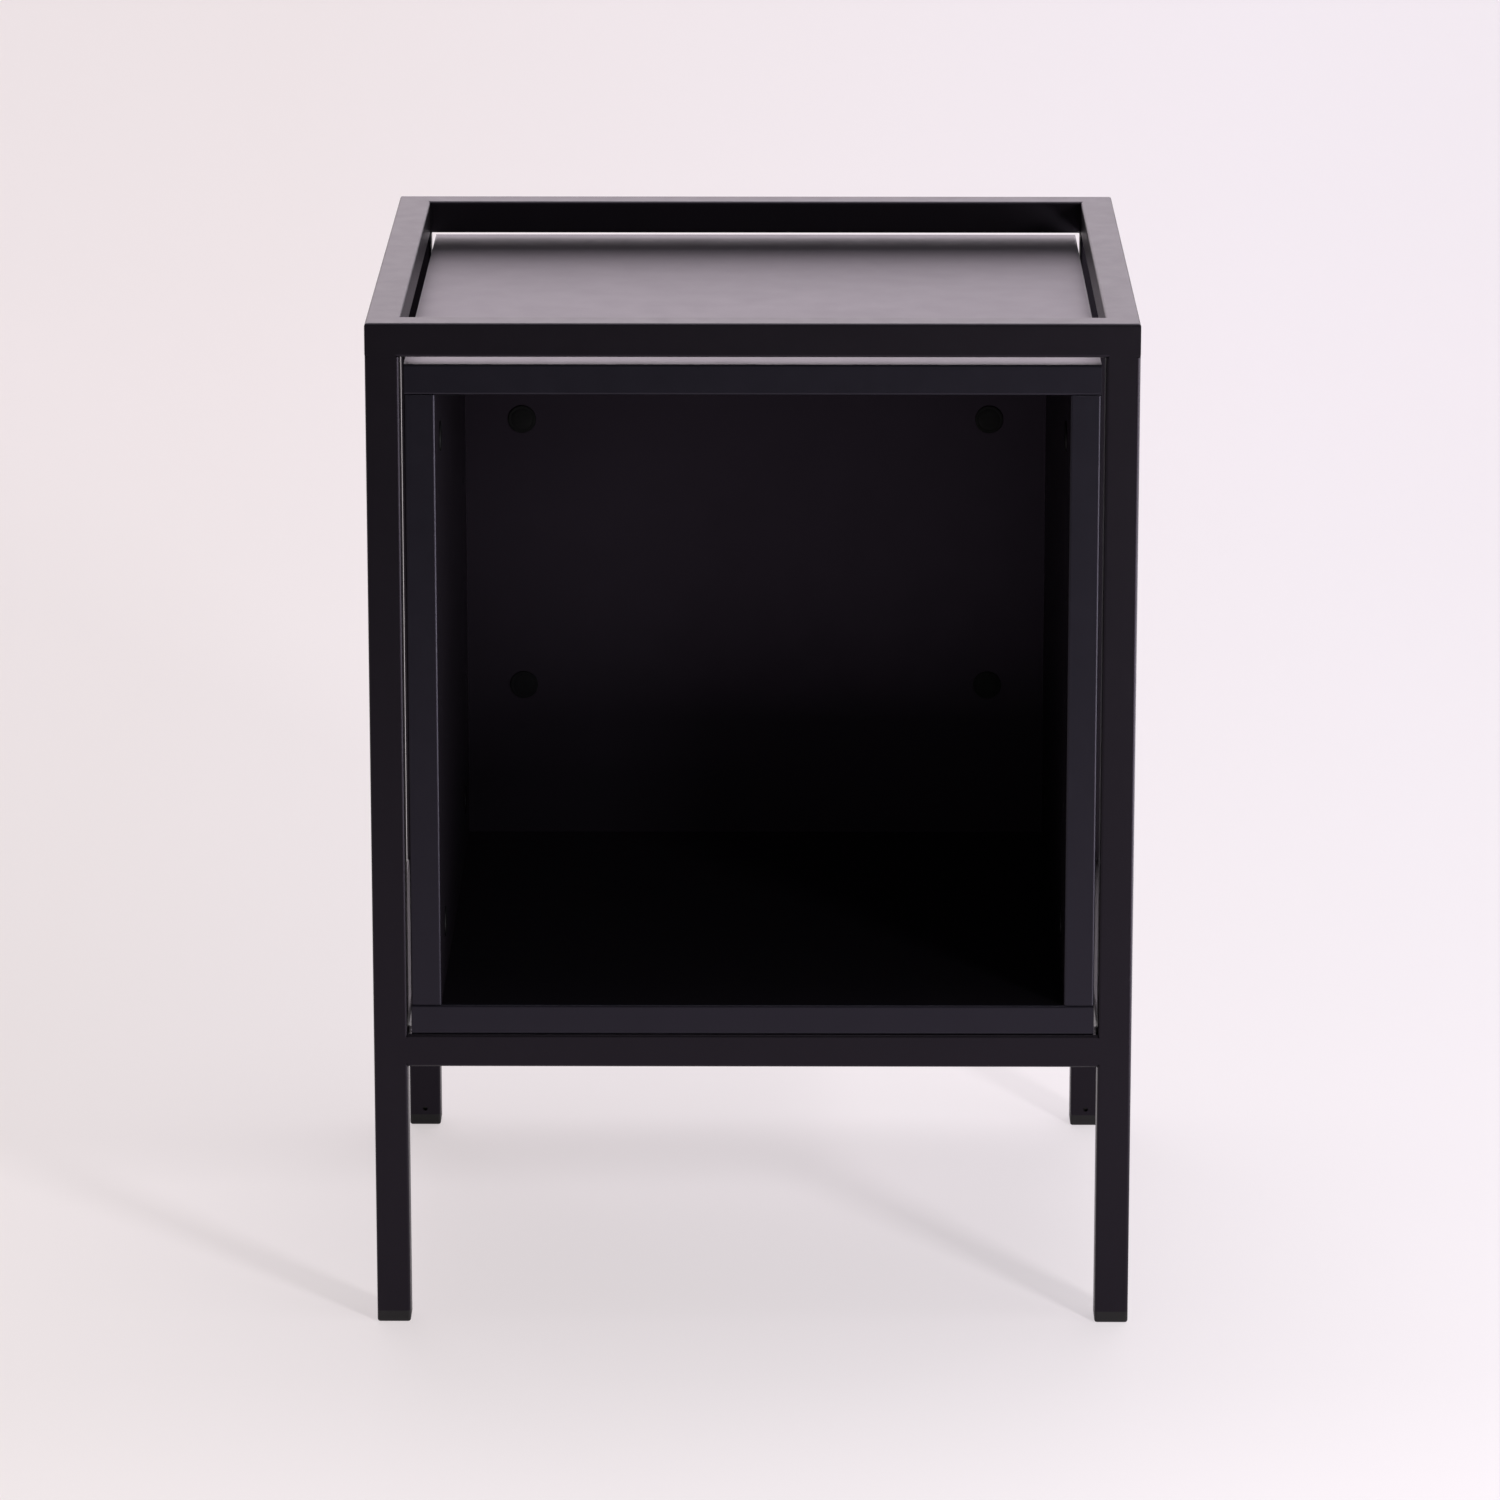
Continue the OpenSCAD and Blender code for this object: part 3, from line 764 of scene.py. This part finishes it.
def screw_shape(shank, reach, radius, height):
    """A button-head screw about Z, from its tip at -reach to the top of its head, with a
    six-sided socket. The head is a dome: its height falls off with the square of the distance
    from the axis. The socket is a ring of six flats. Where not said otherwise, the shares are
    of the head's radius and height."""
    steps = 48
    flat_top, socket_corner, socket_floor, edge_height = 0.62, 0.5, 0.35, 0.25
    a = np.arange(steps) / steps * 2 * pi
    hexagon = socket_corner * radius * np.cos(pi / 6) / np.cos((a % (pi / 3)) - pi / 6)
    socket = np.stack([hexagon * np.cos(a), hexagon * np.sin(a)], -1)
    out = np.linspace(1, flat_top, 7)
    dome = (1 - out ** 2) / (1 - flat_top ** 2)
    tip = 0.6 * shank
    rings = [circle_ring(r, steps) for r in (tip, shank, shank, radius)]
    rings += [circle_ring(radius * s, steps) for s in out]
    heights = [-reach, shank - reach, 0.0, 0.0]
    heights += list(height * (edge_height + (1 - edge_height) * dome))
    rings += [socket, socket]
    heights += [height, height * socket_floor]
    return solid_loft(lofted(rings, heights))


class CASE_OT_screws(bpy.types.Operator):
    """Builds the case screws, whose heads bear on the inside of the lower rails' upper walls"""

    bl_idname = "display_case.screws"
    bl_label = "Case screws"

    def execute(self, context):
        steel, case = context.scene.case_frame, context.scene.case_body
        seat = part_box("low_rail_front")[1].z - steel.wall
        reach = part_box("case_screws")[1].z - seat
        screw = screw_shape(case.screw_radius, reach, case.head_radius, case.head_height)
        parts = [placed(screw, RIGHT, FRONT, DOWN, (x, y, seat))
                 for rail in ("low_rail_front", "low_rail_back") for x, y in screw_places(rail)]
        add_piece("case_screw_set", join(parts), "bolt_steel", "case_screws")
        return {"FINISHED"}


class CASE_OT_fittings(bpy.types.Operator):
    """Gives the hidden cam locks, bolts and dowels their finishes"""

    bl_idname = "display_case.fittings"
    bl_label = "Inner fittings"

    def execute(self, context):
        finish_node("cam_locks", "cam_metal")
        finish_node("cam_bolts", "bolt_steel")
        finish_node("dowels", "dowel_wood")
        return {"FINISHED"}


# ---- Stage ----

def backdrop_sheet(width, front, back, bend, height):
    """A floor that turns up into a wall. Its profile runs back along the floor, round a quarter
    circle of radius bend, and up, and it is carried across the width."""
    a = np.linspace(0, pi / 2, 17)
    profile = np.concatenate([[[front, 0]],
                              np.stack([back - bend + bend * np.sin(a), bend - bend * np.cos(a)], -1),
                              [[back, height]]])
    x = np.array([-width / 2, width / 2])
    points = np.concatenate([np.broadcast_to(x[None, :, None], (len(profile), 2, 1)),
                             np.broadcast_to(profile[:, None, :], (len(profile), 2, 2))], -1)
    k = np.arange(len(profile) - 1) * 2
    faces = np.stack([k, k + 1, k + 3, k + 2], -1).tolist()
    return points.reshape(-1, 3), faces


def add_lamp(name, place, target, size, power, tint=(1, 1, 1)):
    """A soft lamp of the given width and height at place, turned to target."""
    lamp = bpy.data.lights.new(name, "AREA")
    lamp.shape, lamp.energy, lamp.color = "RECTANGLE", power, tint
    lamp.size, lamp.size_y = size
    holder = bpy.data.objects.new(name, lamp)
    holder.location = place
    holder.rotation_euler = (Vector(target) - Vector(place)).to_track_quat("-Z", "Y").to_euler()
    bpy.context.scene.collection.objects.link(holder)
    return holder


def add_paper(scene, stage):
    """The floor and backdrop: one sheet of pale paper."""
    points, faces = backdrop_sheet(stage.paper_width, -stage.front, stage.backdrop, stage.bend,
                                   stage.paper_height)
    mesh = bpy.data.meshes.new("backdrop")
    mesh.from_pydata(points.tolist(), [], faces)
    mesh.shade_smooth()
    sheet = bpy.data.objects.new("backdrop", mesh)
    scene.collection.objects.link(sheet)
    paper = Finish("backdrop_paper", stage.floor_colour, 0.9)
    paper.vary_colour(paper.noise(0.4), 0.985, 1.01)
    paper.bump(paper.noise(0.002), 0.00002)
    # The glow carries painted light: painted shade to the left, painted light to the right and ahead of
    # the case
    paper.lift(stage.lift, stage.glow_left_painted_shade, stage.glow_right_painted_light, stage.front_glow_painted_light)
    mesh.materials.append(paper.material)


def light_room(scene, stage):
    """The room's own faint light."""
    world = bpy.data.worlds.new("room")
    world.use_nodes = True
    background = world.node_tree.nodes["Background"]
    background.inputs["Color"].default_value = (*stage.world_colour, 1)
    background.inputs["Strength"].default_value = stage.world_light
    scene.world = world


def add_lamps():
    """A softbox overhead, a small key that draws the legs' shadows, a panel at the right, a card on
    the floor that the upright edges mirror, and a panel behind that the tray mirrors."""
    add_lamp("overhead_softbox", place=(0.2, 0.6, 3.4), target=(0, 0.3, 0), size=(2.2, 2.2), power=66)
    key = add_lamp("key_softbox", place=(1.48, -2.25, 1.24), target=(0, 0, 0.2), size=(0.32, 0.32),
                   power=56)
    key.visible_glossy = False
    add_lamp("side_panel", place=(2.6, -1.3, 0.75), target=(0, 0, 0.35), size=(1.8, 1.4), power=25)
    add_lamp("low_card", place=(1.75, -0.7, 0.02), target=(1.75, -0.7, 2), size=(1.9, 2.6), power=130)
    add_lamp("back_panel", place=(0, 3.9, 2.2), target=(0, 0, 0.9), size=(5.0, 2.4), power=75,
             tint=(1, 0.88, 0.975))


def add_camera(scene, stage):
    """The camera, at the front and a little above the case."""
    camera = bpy.data.cameras.new("camera")
    camera.lens, camera.sensor_width = stage.camera_lens, 36
    holder = bpy.data.objects.new("camera", camera)
    holder.location, holder.rotation_euler = stage.camera_place, stage.camera_turn
    scene.collection.objects.link(holder)
    scene.camera = holder
    scene.view_settings.view_transform = "Standard"


class CASE_OT_stage(bpy.types.Operator):
    """Builds the floor and backdrop, the lights and the camera"""

    bl_idname = "display_case.stage"
    bl_label = "Stage"

    def execute(self, context):
        scene = context.scene
        add_paper(scene, scene.case_stage)
        light_room(scene, scene.case_stage)
        add_lamps()
        add_camera(scene, scene.case_stage)
        return {"FINISHED"}


# ---- Add-on ----

STEPS = (CASE_OT_posts, CASE_OT_rails, CASE_OT_welds, CASE_OT_feet, CASE_OT_boards,
         CASE_OT_front_bands, CASE_OT_covers, CASE_OT_screws, CASE_OT_fittings, CASE_OT_stage)
SETTINGS = {"case_frame": FrameSettings, "case_body": CaseSettings, "case_stage": StageSettings}


class CASE_PT_panel(bpy.types.Panel):
    """Lists the settings and the steps that build the display case"""

    bl_idname = "CASE_PT_panel"
    bl_label = "Display Case"
    bl_space_type = "VIEW_3D"
    bl_region_type = "UI"
    bl_category = "Display Case"

    def draw(self, context):
        for group, kind in SETTINGS.items():
            box = self.layout.box()
            box.label(text=kind.__doc__)
            for name in kind.__annotations__:
                box.prop(getattr(context.scene, group), name)
        for step in STEPS:
            self.layout.operator(step.bl_idname)


def register():
    """Registers the settings, the steps and the panel."""
    for kind in (*SETTINGS.values(), *STEPS, CASE_PT_panel):
        bpy.utils.register_class(kind)
    for group, kind in SETTINGS.items():
        setattr(bpy.types.Scene, group, PointerProperty(type=kind))


def unregister():
    """Takes away what register added."""
    for group in SETTINGS:
        delattr(bpy.types.Scene, group)
    for kind in (CASE_PT_panel, *reversed(STEPS), *SETTINGS.values()):
        bpy.utils.unregister_class(kind)


def main():
    """Builds the whole case and its stage."""
    register()
    for step in STEPS:
        area, action = step.bl_idname.split(".")
        getattr(getattr(bpy.ops, area), action)()


if __name__ == "__main__":
    main()
